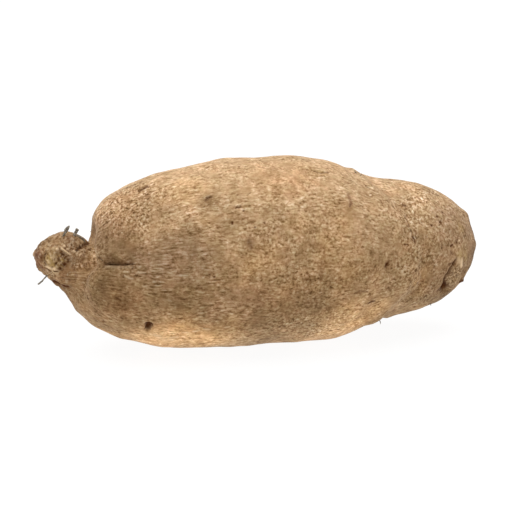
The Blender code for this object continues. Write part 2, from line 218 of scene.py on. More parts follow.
    (((117.3, -22.1, 58.7),), 0.55, 0.3, "cream_and_highlight", 1.0),
    (((115.7, -22.6, 61.8),), 0.9, -0.5, "deep", 1.0),
    (((104.7, -22.5, 74.9),), 0.95, -0.5, "deep", 1.2),
    (((108.0, -17.1, 79.5),), 0.95, -0.5, "deep", 1.2),
    (((103.1, -21.1, 78.0),), 0.85, -0.5, "deep", 1.2),
    (((97.9, -25.6, 73.8),), 0.8, -0.5, "deep", 1.2),
    (((110.9, -25.5, 60.2), (112.6, -24.8, 60.8)), 0.9, -0.5, "deep", 1.2),
    (((103.9, -28.5, 60.2),), 0.7, -0.4, "deep", 1.2),
    (((110.8, -26.2, 57.0), (112.0, -25.6, 55.0)), 1.0, -0.5, "deep", 0.7),
    (((76.6, -38.7, 66.2), (78.6, -37.9, 65.7)), 0.65, -0.4, "deep", 0.9),
    (((80.3, -36.3, 37.5),), 0.65, -0.4, "deep", 1.1),
    (((80.6, -20.9, 86.3), (82.6, -21.0, 85.4)), 0.75, -0.4, "deep", 0.9),
    # The scar on the toe: a crack down to a dark hollow, both partly darkened as painted shade, a fresh pale
    # bruise, crumbs of the broken stub.
    (((115.2, -23.2, 51.4), (113.5, -23.8, 48.2), (111.0, -24.6, 45.6), (109.1, -24.4, 42.8),
      (108.2, -23.4, 39.6), (108.7, -21.3, 35.2), (109.4, -19.0, 32.0)), 1.2, -1.6, "deep", 1.15),
    (((108.8, -20.6, 34.8), (109.6, -18.0, 32.4)), 3.4, -1.3, "deep", 1.3),
    (((105.9, -21.7, 32.3),), 1.7, -0.7, "deep", 1.1),
    (((109.6, -26.6, 49.2), (112.2, -24.6, 49.4), (114.2, -23.8, 48.6)), 0.9, -0.6, "deep", 0.9),
    (((114.6, -23.4, 49.4), (110.9, -24.9, 45.6)), 2.0, -0.6, "deep", 0.5),
    (((116.6, -23.2, 51.0), (119.4, -21.4, 48.4)), 1.7, 0.3, "cream_and_highlight", 0.5),
    (((119.9, -21.1, 49.6), (120.3, -20.6, 47.2), (120.9, -19.4, 45.2)), 1.5, 0.5, "cream_and_highlight", 0.95),
    (((120.7, -18.6, 42.6),), 0.9, -0.6, "deep", 0.9),
    (((112.0, -24.1, 42.6),), 1.7, 1.2, "pale_and_highlight", 0.2),
    (((116.6, -22.1, 45.0),), 1.7, 1.1, "pale_and_highlight", 0.2),
    (((116.0, -22.7, 40.6),), 1.6, 1.1, "pale_and_highlight", 0.3),
    (((112.0, -23.4, 38.2),), 1.5, 1.1, "pale_and_highlight", 0.3),
    (((117.6, -22.0, 37.0),), 1.6, 1.1, "pale_and_highlight", 0.25),
    (((113.6, -21.6, 34.8),), 1.6, 1.2, "pale_and_highlight", 0.3),
    (((114.4, -16.0, 30.0),), 2.0, 1.2, "", 0),
    (((116.6, -18.6, 33.4),), 1.1, -0.7, "deep", 0.6),
    (((125.3, -9.2, 33.4), (124.0, -10.2, 32.6)), 1.5, 0.6, "deep", 1.4),
    (((123.2, -11.2, 32.6), (121.0, -12.8, 31.6), (119.2, -13.2, 29.6), (116.4, -14.0, 28.0)),
     1.1, -0.4, "deep", 1.1),
    (((113.7, -15.5, 28.5), (115.4, -13.8, 28.2)), 1.4, 0.3, "deep", 0.65),
    (((118.4, -22.0, 53.4),), 3.0, 0.0, "ochre", 0.6),
    (((122.6, -18.8, 54.0), (124.6, -16.4, 49.4)), 2.4, 0.0, "ochre", 0.4),
    (((120.2, -16.5, 69.1),), 3.6, 0.0, "ochre", 0.5),
    (((126.3, -7.6, 33.0),), 1.6, 1.4, "deep", 1.4),
    # Painted shade in dark bands along the outline: under the crown, round the end of the toe and up the
    # shoulder.
    (((-124.0, -8.6, 41.3), (-120.3, -8.6, 36.0), (-117.9, -8.6, 31.0), (-115.0, -6.6, 25.1),
      (-109.4, -10.2, 21.0)), 1.8, 0.0, "deep", 0.3),
    (((131.0, -1.6, 75.0), (131.6, -4.2, 70.4), (134.4, -2.2, 64.2), (136.3, -2.2, 58.7), (135.7, -6.0, 55.6),
      (134.8, -6.0, 50.4), (134.0, -6.2, 47.3)), 1.7, 0.0, "deep", 0.25),
    (((-102.6, 13.0, 81.0), (-103.2, 14.5, 76.0), (-103.5, 16.0, 70.0), (-103.5, 17.0, 66.0)),
     2.2, 0.0, "deep", 0.25),
)

# What rounds the outline: a place, how wide the skin swells or sinks there, and how far
SWELLINGS = (
    ((-138.6, -10.0, 66.5), 4.6, 1.0),
    ((-137.2, -14.6, 54.4), 4.6, -2.3),
    ((-135.4, -6.0, 53.6), 5.0, -2.5),
    ((-130.0, -2.0, 48.5), 2.5, 0.8),
    ((-123.0, -3.0, 44.5), 5.0, -1.4),
    ((-128.0, -8.0, 76.0), 4.0, -1.1),
    ((-121.5, -8.0, 77.5), 4.5, -1.5),
    ((-114.5, -8.0, 74.5), 4.0, -1.3),
    ((-105.5, 20.0, 70.0), 10.0, -1.5),
    ((130.6, -8.0, 57.0), 15.0, -1.7),
    ((130.0, -1.0, 73.5), 5.0, 1.5),
    ((134.5, -4.0, 54.5), 4.0, 1.2),
    ((133.1, -2.2, 37.6), 5.0, -0.8),
    ((126.5, -13.0, 40.0), 5.0, -1.2),
    ((121.4, -13.6, 31.0), 3.0, -1.6),
    ((78.0, -8.0, 11.5), 8.0, 1.0),
    ((-10.0, -2.0, 116.0), 40.0, -0.9),
    ((-3.5, 8.0, 114.0), 8.0, -0.8),
    ((-24.8, 11.9, 112.0), 8.0, 0.9),
    ((-26.0, -15.0, 2.6), 14.0, 0.9),
    ((-89.8, 5.0, 96.9), 8.0, -0.7),
    ((-115.4, -2.1, 24.8), 6.0, -1.6),
    ((63.6, -26.6, 15.4), 5.0, 0.7),
    ((57.1, -23.0, 11.1), 4.0, -0.7),
    ((88.8, 9.2, 96.4), 7.0, -0.7),
    ((56.0, -5.0, 104.0), 9.0, 0.9),
    ((54.5, -5.0, 104.2), 2.2, 0.7),
    ((68.0, -28.0, 18.0), 9.0, 1.0),
    ((-105.0, 26.0, 64.5), 6.0, -1.6),
    ((-137.0, -12.7, 56.6), 3.5, -1.0),
    ((-125.5, -12.0, 46.3), 4.0, -1.2),
    ((-121.2, -7.0, 39.2), 4.0, 1.0),
    ((-136.2, -9.5, 69.4), 3.0, 1.0),
    ((-78.0, -14.6, 6.8), 8.0, -1.0),
    ((54.9, 2.1, 104.8), 3.2, 1.0),
    ((110.6, 13.6, 89.6), 9.0, -0.7),
    ((78.0, -3.0, 10.6), 3.2, 1.1),
    ((84.5, -1.0, 10.8), 4.0, -0.6),
)
MARKS += tuple(((place,), width, rise, "", 0) for place, width, rise in SWELLINGS)

# Zones of the skin: place in millimetres, reach along x, y and z, and how strong. The dust and lighter zones
# low on the flank paint the floor's light there, and the soil and mauve zones paint shade low down and along
# the outline.
ZONES = {
    "dust_and_painted_light": (
        ((-68, -36, 12), (30, 30, 14), 0.7), ((-30, -32, 10), (26, 34, 12), 0.55),
        ((34, -38, 23), (24, 26, 12), 0.55), ((66, -36, 35), (18, 20, 14), 0.25),
        ((36, -24, 8), (26, 20, 9), 0.6), ((99, -15, 82), (16, 20, 12), 0.4),
        ((70, -38, 74), (14, 16, 9), 0.3), ((-109, -17, 63), (9, 10, 8), 0.55),
        ((-99, -12, 82), (9, 15, 12), 0.3),
    ),
    "lighter_and_floor_light": (
        ((-58, -38, 15), (34, 26, 14), 1.4), ((53, -38, 25), (14, 16, 9), 0.9),
        ((33, -43, 28), (12, 14, 9), 0.75), ((-97, -13, 13), (14, 16, 9), 1.0),
        ((88, -31, 42), (8, 10, 9), 0.8), ((-25, -45, 26), (9, 12, 7), 0.45),
        ((10, -48, 82), (12, 14, 10), 0.35), ((42, -34, 16), (18, 18, 8), 0.9),
        ((34, -24, 7), (24, 18, 9), 0.6), ((-53, -28, 100), (16, 14, 10), 0.4),
        ((-60, -45, 29), (12, 14, 8), 0.75), ((-110, -16, 64), (8, 9, 8), 0.35),
        ((-18, -52, 62), (13, 14, 9), 0.5), ((33, -48, 76), (12, 16, 20), 0.35),
        ((44, -50, 56), (16, 16, 10), 0.25), ((23, -52.5, 68), (9, 10, 8), 0.35),
        ((-24, -53, 57), (9, 10, 8), 0.3), ((40.5, -46, 32), (9, 10, 8), 0.35),
        ((-46, -38, 14), (9, 12, 7), 0.4), ((36, -52, 49), (9, 10, 8), 0.35),
    ),
    "soil_and_shade": (
        # The first zone here is painted shade round the rim of the toe.
        ((132, -7, 50), (8, 16, 20), 1.2), ((-135, -14, 62), (7, 8, 12), 0.8),
        ((-67, -28, 95), (11, 14, 8), 0.5), ((-57, -42, 81), (13, 12, 9), 0.65),
        ((-102, -33, 59), (9, 12, 7), 0.5), ((9, -25, 108), (11, 14, 7), 0.5),
        ((80, -18, 90), (12, 14, 8), 0.4), ((-134, -14, 70), (6, 8, 6), 0.4),
        ((-86, -41, 73.5), (13, 12, 10), 0.8), ((-37, -41, 90), (14, 12, 9), 0.65),
        ((-54, -48, 72), (16, 12, 12), 0.5), ((15, -53, 48), (12, 12, 9), 0.35),
        ((-52, -51, 56), (10, 12, 8), 0.45), ((-100, -22, 80), (9, 14, 10), 0.6),
        ((84, -35, 69), (8, 10, 8), 0.8), ((106, -17, 26), (18, 16, 9), 0.8),
        ((118, -14, 31), (12, 14, 9), 0.5), ((-84, -26, 84), (30, 30, 26), 0.5),
        ((-70, -44, 62), (26, 22, 14), 0.3), ((-94, -32, 62), (20, 20, 20), 0.5),
        ((-95, -30, 42), (15, 20, 14), 0.7), ((-62, -46, 40), (26, 24, 12), 0.6),
        ((14, -46, 31), (30, 26, 14), 0.6), ((-12, -42, 24), (14, 14, 12), 0.6),
        ((96, -28, 36), (16, 20, 14), 0.45), ((-118, -14, 48), (12, 16, 11), 0.6),
        ((-128, -4, 74), (14, 14, 10), 0.6), ((-98, -30, 48), (16, 18, 12), 0.4),
        ((-87, -33.5, 81.5), (8, 10, 8), 0.5), ((-101, -35.5, 59.5), (8, 10, 7), 0.6),
        ((-15, -47, 29), (10, 10, 7), 0.35), ((15, -49.5, 36), (10, 10, 8), 0.4),
        ((29, -47, 82), (8, 10, 8), 0.35), ((-8, -36, 12), (9, 12, 7), 0.45),
    ),
    "mauve_and_rim_shade": (
        ((-66, -44, 64), (26, 24, 15), 1.0), ((-100, -24, 76), (14, 20, 16), 0.7),
        ((-26, -50, 40), (20, 20, 14), 0.6), ((116, -18, 70), (20, 20, 18), 0.8),
        # On this line, the zone at the toe's end is painted shade round its rim.
        ((-124, -16, 66), (14, 12, 12), 0.8), ((133, -4, 52), (7, 14, 22), 1.3),
        ((-137, -13, 62), (5, 8, 9), 0.8), ((102, -26, 46), (16, 18, 18), 0.7),
        ((114.5, -21.5, 38.5), (8, 8, 9), 0.3),
    ),
    "ruddy": (
        ((-137.0, -15.0, 62.5), (5, 6, 6), 1.0), ((-121.5, -20.0, 50.0), (6, 8, 8), 0.4),
        ((-88, -20, 88), (20, 20, 16), 0.5), ((6, -30, 106), (26, 20, 14), 0.4),
        ((-91, -38, 40), (14, 16, 12), 0.6), ((-12, -46, 40), (30, 20, 12), 0.4),
    ),
    "grain": (
        ((-76, -46, 57), (34, 22, 9), 0.7), ((-66, -42, 70), (30, 22, 9), 0.45),
    ),
    "calm": (
        ((-123.1, -21.2, 53.4), (5, 6, 5), 1.4), ((-129.5, -17, 70.5), (4, 5, 4), 1.0),
        ((-76, -40, 73), (28, 22, 11), 0.6), ((-94, -36, 66), (12, 14, 9), 1.0),
        ((106, -24, 46), (14, 16, 14), 0.4), ((110, -16, 60), (30, 30, 32), 1.2),
        ((70, -40, 66), (16, 20, 14), 0.7), ((48, -42, 72), (22, 20, 22), 0.4),
        ((-10, -16, 108), (62, 34, 16), 1.0),
    ),
    "net": (
        ((-84, -16, 90), (26, 36, 24), 0.8), ((-127, -10, 61), (15, 20, 18), 1.2),
        ((-110, -14, 62), (10, 14, 9), 0.8), ((-10, -12, 112), (60, 40, 14), 0.3),
        ((10, -46, 60), (44, 30, 30), 0.35), ((100, -16, 64), (40, 44, 44), 1.0),
        ((20, -36, 20), (40, 30, 14), 0.5),
    ),
}


def linear(hex_colour):
    """An sRGB hex colour as the linear colour that a shader works in."""
    channels = [int(hex_colour[i:i + 2], 16) / 255 for i in (1, 3, 5)]
    return (*[c / 12.92 if c <= 0.04045 else ((c + 0.055) / 1.055) ** 2.4 for c in channels], 1.0)


def add_node(tree, kind, inputs=None, stops=None, **settings):
    """A shader node with its settings, its ramp's stops, and its inputs, given as values or other outputs."""
    node = tree.nodes.new("ShaderNode" + kind)
    for name, value in settings.items():
        setattr(node, name, value)
    if stops:
        ramp = node.color_ramp
        while len(ramp.elements) < len(stops):
            ramp.elements.new(0.5)
        for element, (place, colour) in zip(ramp.elements, stops):
            element.position = place
            element.color = colour
    for key, value in (inputs or {}).items():
        if isinstance(value, bpy.types.NodeSocket):
            tree.links.new(value, node.inputs[key])
        else:
            node.inputs[key].default_value = value
    return node


def new_piece(name, mesh_maker, materials):
    """The finished object of a bmesh, at the origin."""
    mesh = bpy.data.meshes.new(name)
    mesh_maker.to_mesh(mesh)
    mesh_maker.free()
    for polygon in mesh.polygons:
        polygon.use_smooth = True
    for material in materials:
        mesh.materials.append(material)
    piece = bpy.data.objects.new(name, mesh)
    bpy.context.scene.collection.objects.link(piece)
    return piece


def soften(share):
    """Eases a share from 0 to 1, level at both ends."""
    share = min(max(share, 0.0), 1.0)
    return share * share * (3 - 2 * share)


WALL_LEAST = 4             # a mark deeper than this under the skin belongs to another side of the body


def along(point, line, normal=None):
    """Distance in millimetres from a point to a line, the share of the line's way there, and the foot.

    With a normal the distance is measured along the skin, as if the mark were pressed straight in.
    """
    best = (1e9, 0.5, Vector(line[0]))
    for i in range(max(len(line) - 1, 1)):
        start, end = Vector(line[i]), Vector(line[min(i + 1, len(line) - 1)])
        way = end - start
        t = min(max((point - start).dot(way) / way.length_squared, 0.0), 1.0) if len(line) > 1 else 0.5
        foot = start + way * t
        off = point - foot
        if normal is not None:
            depth = off.dot(normal)
            if abs(depth) < WALL_LEAST:
                off = off - normal * (depth * 0.9)
        if off.length < best[0]:
            best = (off.length, (i + t) / max(len(line) - 1, 1), foot)
    return best


# Without a seed the noise that bends the zones differs from run to run.
noise.seed_set(3)

# The body is a merged copy of the solid, and the dried roots on it are cut off first, to be made finer later.
body = bmesh.new()
body.from_mesh(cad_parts["yam_tuber"].data)
bmesh.ops.remove_doubles(body, verts=body.verts, dist=1e-6)
body.normal_update()
body_tree = BVHTree.FromBMesh(body)
thin = []                  # the faces of the dried roots
for face in body.faces:
    middle = face.calc_center_median()
    if (middle - KNOB_MIDDLE).length > 2 * KNOB_REACH:
        continue
    hit = body_tree.ray_cast(middle - face.normal * 1e-5, -face.normal, THIN_LIMIT)
    if hit[0] is not None:
        thin.append(face)

root_places = []           # (foot, tip, radius) of each dried root on the crown
unseen = set(thin)
for first in thin:
    if first not in unseen:
        continue
    unseen.discard(first)
    cluster = []
    waiting = [first]
    while waiting:
        face = waiting.pop()
        cluster.append(face)
        for edge in face.edges:
            for other in edge.link_faces:
                if other in unseen:
                    unseen.discard(other)
                    waiting.append(other)
    points = [v.co.copy() for face in cluster for v in face.verts]
    far = max((p - KNOB_MIDDLE).length for p in points)
    near = min((p - KNOB_MIDDLE).length for p in points)
    tips = [p for p in points if (p - KNOB_MIDDLE).length > far - 0.2 * (far - near) - 1e-5]
    feet = [p for p in points if (p - KNOB_MIDDLE).length < near + 0.35 * (far - near)]
    tip = sum(tips, Vector()) / len(tips)
    foot = sum(feet, Vector()) / len(feet)
    if far - near > 1.0 * MM and len(cluster) >= 6:
        root_places.append((foot, tip, max((p - tip).length for p in tips)))
root_places.sort(key=lambda place: place[0].x)

bmesh.ops.delete(body, geom=thin, context="FACES")
start = max(body.faces, key=lambda f: f.calc_area())
kept = {start}
waiting = [start]
while waiting:
    for edge in waiting.pop().edges:
        for other in edge.link_faces:
            if other not in kept:
                kept.add(other)
                waiting.append(other)
bmesh.ops.delete(body, geom=[f for f in body.faces if f not in kept], context="FACES")
bmesh.ops.delete(body, geom=[v for v in body.verts if not v.link_faces], context="VERTS")
bmesh.ops.holes_fill(body, edges=[e for e in body.edges if e.is_boundary], sides=0)

# An even mesh all over, so that relief can be pressed into it anywhere.
rough_mesh = bpy.data.meshes.new("rough_skin")
body.to_mesh(rough_mesh)
body.free()
rough = bpy.data.objects.new("rough_skin", rough_mesh)
bpy.context.scene.collection.objects.link(rough)
remesh = rough.modifiers.new("even", "REMESH")
remesh.mode = "VOXEL"
remesh.voxel_size = GRAIN
bpy.context.view_layer.update()
even_mesh = bpy.data.meshes.new_from_object(rough.evaluated_get(bpy.context.evaluated_depsgraph_get()))
bpy.data.objects.remove(rough)

skin = bmesh.new()
skin.from_mesh(even_mesh)
bpy.data.meshes.remove(even_mesh)
bpy.data.meshes.remove(rough_mesh)


def relax():
    """Takes the steps out of the mesh, by half of each corner's way to its neighbours' middle."""
    bmesh.ops.smooth_vert(skin, verts=skin.verts, factor=0.5,
                          use_axis_x=True, use_axis_y=True, use_axis_z=True)


relax()

SLICE = 4                   # millimetres of the body's length that share a list of marks
marks_at = {}               # the marks near each slice
for mark in MARKS:
    least = min(p[0] for p in mark[0]) - 3 * mark[1] - 1
    most = max(p[0] for p in mark[0]) + 3 * mark[1] + 1
    for number in range(int(least // SLICE), int(most // SLICE) + 1):
        marks_at.setdefault(number, []).append(mark)


def near_marks(point, reach):
    """True within reach millimetres of a crack, slit or other sharp mark."""
    if abs(point.x + 92) < 30 and along(point, CRACK)[0] < reach:
        return True
    if along(point, PIT)[0] < PIT_RADIUS + reach:
        return True
    return any(mark[1] < SHARP_MARK and along(point, mark[0])[0] < mark[1] + reach
               for mark in marks_at.get(int(point.x // SLICE), ()))


def refine(places, mark_reach):
    """Cuts each face in four that lies within its distance of one of the places, or near a sharp mark."""
    edges = set()
    for face in skin.faces:
        middle = face.calc_center_median() / MM
        near_place = any((middle - place).length < reach for place, reach in places)
        if near_place or near_marks(middle, mark_reach):
            edges.update(face.edges)
    bmesh.ops.subdivide_edges(skin, edges=[e for e in skin.edges if e in edges], cuts=1, use_grid_fill=True)


refine(((KNOB_MIDDLE / MM, KNOB_REACH / MM), (Vector((112, -22, 38)), 12)), 2.6)
refine(((Vector((-127, -18.5, 61.5)), 11), (PLUG, 9)), 1.0)
bmesh.ops.triangulate(skin, faces=[f for f in skin.faces if len(f.verts) > 4])
relax()
relax()
skin.normal_update()

fibre_way = (TOE - NECK).normalized()
fibre_up = (Vector((0, 0, 1)) - fibre_way * fibre_way.z).normalized()
fibre_side = fibre_way.cross(fibre_up)


def fibre_place(point):
    """Where a point lies among the fibres: its distance from the neck, and its place round the girth."""
    offset = point - NECK
    across = offset - fibre_way * offset.dot(fibre_way)
    turn = math.atan2(across.dot(fibre_side), across.dot(fibre_up))
    girth = GIRTH_LEAST + GIRTH_SHARE * across.length
    return Vector((offset.length, girth * math.cos(turn), girth * math.sin(turn)))


def cells(point):
    """Height between 0 in the grooves and 1 on the plates of scaly bark."""
    gaps = noise.voronoi(point)[0]
    return min((gaps[1] - gaps[0]) / 0.35, 1.0)


def zone(point, places):
    """How much of a list of soft-edged zones covers a point given in millimetres."""
    total = 0.0
    for centre, reach, share in places:
        across = (point.x - centre[0]) / reach[0]
        if abs(across) < 1.4:
            gap = math.hypot(across, (point.y - centre[1]) / reach[1], (point.z - centre[2]) / reach[2])
            total += share * soften(1.35 - gap)
    return min(total, 1.5)


def zones_at(point):
    """How much of each zone there is at a point given in millimetres."""
    strayed = point + noise.noise_vector(point / 19) * 8 + noise.noise_vector(point / 6) * 2
    found = {name: zone(strayed, places) for name, places in ZONES.items()}
    # Painted top light: the body's skin grows paler and bluer towards the top, over the dust zones.
    body_share = soften((point.x + 112) / 16)
    found["dust_and_painted_light"] = min(found["dust_and_painted_light"] + body_share * soften((strayed.z - 48) / 66), 1.5)
    return found


flow_layer = skin.verts.layers.float_vector.new("flow")
PAINTS = ("ochre", "rust", "pale_and_highlight", "cream_and_highlight", "deep")
layers = {name: skin.verts.layers.float.new(name) for name in (*ZONES, *PAINTS)}

for vert in skin.verts:
    place = vert.co.copy()
    mm = place / MM
    flow = fibre_place(place)
    vert[flow_layer] = flow
    s, a, b = flow / MM
    crown = soften((KNOB_REACH - (place - KNOB_MIDDLE).length) / (6 * MM)) * soften((-106 - mm.x) / 10)
    paint = dict.fromkeys(PAINTS, 0.0)
    found = zones_at(mm)
    height = SWELL[0] * noise.noise(mm / SWELL[1])
    height += DIMPLE[0] * noise.noise(mm / DIMPLE[1] + Vector((5, 0, 0)))
    for tall, long, wide in (WELT, RIDGE):
        height += (1 - crown) * tall * noise.noise(Vector((s / long, a / wide, b / wide)))
    if crown > 0:
        plates = cells(mm / PLATE[1] + 0.5 * noise.noise_vector(mm / 3))
        height += crown * KNUCKLE[0] * noise.noise(mm / KNUCKLE[1])
        crown *= 1 - 0.75 * min(found["calm"], 1.0)
        rough_height = KNOT[0] * noise.noise(mm / KNOT[1]) + GRIT[0] * noise.noise(mm / GRIT[1])
        height += crown * (rough_height + PLATE[0] * (plates - 0.6))
        dark_freckles = soften((noise.noise(mm / FRECKLE + Vector((7, 2, 5))) - 0.28) / 0.2)
        pale_freckles = soften((noise.noise(mm / FRECKLE + Vector((3, 1, 4))) - 0.28) / 0.2)
        paint["deep"] = crown * max(0.25 * soften((0.4 - plates) / 0.4), 0.6 * dark_freckles)
        paint["pale_and_highlight"] = crown * 0.8 * pale_freckles
    ragged = mm + noise.noise_vector(mm / 1.4) * 0.4
    for places, width, rise, name, amount in marks_at.get(int(mm.x // SLICE), ()):
        gap, share, foot = along(ragged, places, vert.normal) if width < BROAD_MARK else along(mm, places)
        gap /= width * (0.75 + share * (1 - share))
        if gap < 3:
            near = math.exp(-gap * gap)
            height += rise * near
            if name:
                paint[name] = max(paint[name], amount * near)
    if abs(mm.x + 92) < 22:
        gap, share, foot = along(mm, CRACK, vert.normal)
        if gap < 9:
            ends = soften(share / 0.15) * soften((1 - share) / 0.15)
            if mm.z > foot.z:
                height -= VALLEY[0] * ends * math.exp(-(gap / VALLEY[1]) ** 1.5)
                # Painted shade in the sunken valley above the crack.
                valley_shade = ends * soften((share - 0.1) / 0.4) * math.exp(-(gap / 3.4) ** 2)
                paint["deep"] = max(paint["deep"], 0.4 * valley_shade)
            else:
                height += LIP[0] * ends * math.exp(-(gap / LIP[1]) ** 2)
                # Painted highlight on the raised lip under the crack.
                paint["pale_and_highlight"] = max(paint["pale_and_highlight"], 0.35 * ends * math.exp(-((gap - 1.2) / 0.7) ** 2))
            height -= CLEFT[0] * ends * math.exp(-(gap / CLEFT[1]) ** 2)
            # Painted shadow in the open crack.
            paint["deep"] = max(paint["deep"], 0.75 * ends * math.exp(-(gap / 0.38) ** 2))
    plug = soften((PLUG_RADIUS - (mm - PLUG).length) / 3.5) * soften((mm.x - PLUG_BACK) / 2)
    if plug > 0:
        crumbs = noise.noise(mm / CRUMB[1])
        height += plug * (LOBE[0] * noise.noise(mm / LOBE[1]) + CRUMB[0] * crumbs)
        paint["cream_and_highlight"] = max(paint["cream_and_highlight"], plug * 0.5 * soften(crumbs * 2.5 - 0.1))
        paint["deep"] = max(paint["deep"], plug * 0.5 * soften(-crumbs * 2.5 - 0.2))
    gap, share, foot = along(mm, PIT, vert.normal)
    if gap < 6:
        gap /= PIT_RADIUS * (1 - 0.35 * share)
        height -= PIT_DEPTH * math.exp(-gap ** 4)
        height += 0.25 * math.exp(-((gap - 1.45) / 0.35) ** 2)
        paint["deep"] = max(paint["deep"], 1.15 * math.exp(-(gap * 0.95) ** 6))
    found.update(paint)
    for name, layer in layers.items():
        vert[layer] = found[name]
    rest = soften(mm.z / 4)
    lifted = place + vert.normal * height * MM * rest
    lifted.z = max(lifted.z, 0.0)
    vert.co = lifted

# Corky yam skin: dry, dull bark, buff where it is thin and brown where the fibres gape or soil is rubbed in;
# painted light and shade lie over it, paler on top and darker low down and along the outline.
# Light catches the raised fibres, and the gaps between them are dark, so it looks speckled and never shines.
corky = bpy.data.materials.new("corky yam skin")
corky.use_nodes = True
nt = corky.node_tree
nt.nodes.clear()

GAP = linear("#4E3213")
UMBER = linear("#7A5A38")
TAN = linear("#9B7954")
BUFF = linear("#B2936E")
PALE_FIBRE_AND_HIGHLIGHT = linear("#CCB596")
OCHRE = linear("#B29258")
RUST = linear("#6B3E2A")
CREAM = linear("#EBCCA4")
DARK_HOLE = linear("#4E2600")
PLAIN = (1.0, 1.0, 1.0, 1.0)
TINTS = {                               # what each zone multiplies the bark's colour by
    "dust_and_painted_light": (1.52, 1.64, 1.87, 1.0),
    "lighter_and_floor_light": (1.40, 1.34, 1.24, 1.0),
    "soil_and_shade": (0.72, 0.70, 0.66, 1.0),
    "mauve_and_rim_shade": (0.92, 0.92, 1.00, 1.0),
    "ruddy": (1.04, 0.92, 0.84, 1.0),
}

# Widths of the bark's patterns, in metres
FIBRE_LONG, FIBRE_WIDE = 0.0026, 0.0014
STRAND_LONG, STRAND_WIDE = 0.0062, 0.0012
NET_WIDE = 0.0016
DRIFT_WIDE = 0.020
LULL_WIDE = 0.0095
PIT_SPACING = 0.0034
STAINS = (                 # width, detail, roughness, distortion, and what it multiplies the colour by
    (0.0055, 2.0, 0.5, 0.3,
     ((0.30, (0.84, 0.81, 0.76, 1)), (0.50, (0.99, 0.99, 0.98, 1)), (0.70, (1.14, 1.17, 1.22, 1)))),
    (0.016, 3.0, 0.55, 0.4,
     ((0.32, (0.80, 0.77, 0.71, 1)), (0.46, (0.96, 0.96, 0.93, 1)), (0.56, (1.03, 1.02, 1.01, 1)),
      (0.68, (1.17, 1.15, 1.14, 1)))),
    (0.004, 2.0, 0.6, 0.0,
     ((0.34, (0.98, 1.0, 0.965, 1)), (0.50, (1.0, 1.0, 1.0, 1)), (0.66, (1.025, 1.0, 1.025, 1)))),
)

flow_in = add_node(nt, "Attribute", attribute_name="flow")
share_in = {name: add_node(nt, "Attribute", attribute_name=name).outputs["Fac"]
            for name in (*ZONES, *PAINTS)}
place_in = add_node(nt, "TexCoord")
place_out = place_in.outputs["Object"]

# Real fibres are about half a millimetre apart, and twice to five times as long as they are wide.
# They are drawn two to three times as coarse, because finer ones don't show in the render.
fibre_map = add_node(nt, "Mapping", {
    "Vector": flow_in.outputs["Vector"], "Scale": (1 / FIBRE_LONG, 1 / FIBRE_WIDE, 1 / FIBRE_WIDE)})
fibres = add_node(nt, "TexNoise", {
    "Vector": fibre_map.outputs[0], "Scale": 1.0, "Detail": 4.0, "Roughness": 0.6, "Distortion": 0.5})
strand_map = add_node(nt, "Mapping", {
    "Vector": flow_in.outputs["Vector"], "Scale": (1 / STRAND_LONG, 1 / STRAND_WIDE, 1 / STRAND_WIDE),
    "Location": (3.1, 7.7, 1.9)})
strands = add_node(nt, "TexNoise", {
    "Vector": strand_map.outputs[0], "Scale": 1.0, "Detail": 3.0, "Roughness": 0.55, "Distortion": 0.2})
# The net on the shoulder and the toe has no grain: loops and specks 1 to 2 mm wide.
net = add_node(nt, "TexNoise", {
    "Vector": place_out, "Scale": 1 / NET_WIDE, "Detail": 4.0, "Roughness": 0.6, "Distortion": 0.3})
drift = add_node(nt, "TexNoise", {
    "Vector": place_out, "Scale": 1 / DRIFT_WIDE, "Detail": 2.0, "Roughness": 0.5})
netted = add_node(nt, "Math", {0: share_in["net"], 1: drift.outputs[0]}, operation="ADD")
grain_mix = add_node(nt, "MapRange", {
    "Value": netted.outputs[0], "From Min": 0.4, "From Max": 1.25, "To Min": 0.84, "To Max": 0.1})
# Below the crack the strands run long and straight, like the grain of a plank.
strand_share = add_node(nt, "MapRange", {"Value": share_in["grain"], "To Min": 0.3, "To Max": 0.85})
fibre_both = add_node(nt, "Mix", {
    0: strand_share.outputs[0], 2: fibres.outputs[0], 3: strands.outputs[0]})
rough_relief = add_node(nt, "Mix", {
    0: grain_mix.outputs[0], 2: net.outputs[0], 3: fibre_both.outputs[0]})
# Where the skin is calm the fibres lie flat and hardly show; where it is dusty or painted paler as top light,
# or grained, they stand out.
strong = add_node(nt, "Math", {
    0: share_in["dust_and_painted_light"], 1: 0.05, 2: share_in["grain"]}, operation="MULTIPLY_ADD")
calm_both = add_node(nt, "Math", {0: share_in["calm"], 1: strong.outputs[0]}, operation="SUBTRACT")
# So do they in lulls a centimetre wide all over the body.
lull = add_node(nt, "TexNoise", {
    "Vector": place_out, "Scale": 1 / LULL_WIDE, "Detail": 2.0, "Roughness": 0.5})
lull_share = add_node(nt, "MapRange", {
    "Value": lull.outputs[0], "From Min": 0.48, "From Max": 0.66, "To Min": -0.04, "To Max": 0.48})
calm_share = add_node(nt, "Math", {
    0: calm_both.outputs[0], 1: 0.30, 2: lull_share.outputs[0]}, operation="MULTIPLY_ADD")
relief = add_node(nt, "Mix", {
    0: calm_share.outputs[0], 2: rough_relief.outputs[0], 3: 0.5}, clamp_factor=False)

tone = add_node(nt, "ValToRGB", {0: relief.outputs[0]}, stops=[
    (0.33, GAP), (0.42, UMBER), (0.49, TAN), (0.56, BUFF), (0.67, PALE_FIBRE_AND_HIGHLIGHT)])

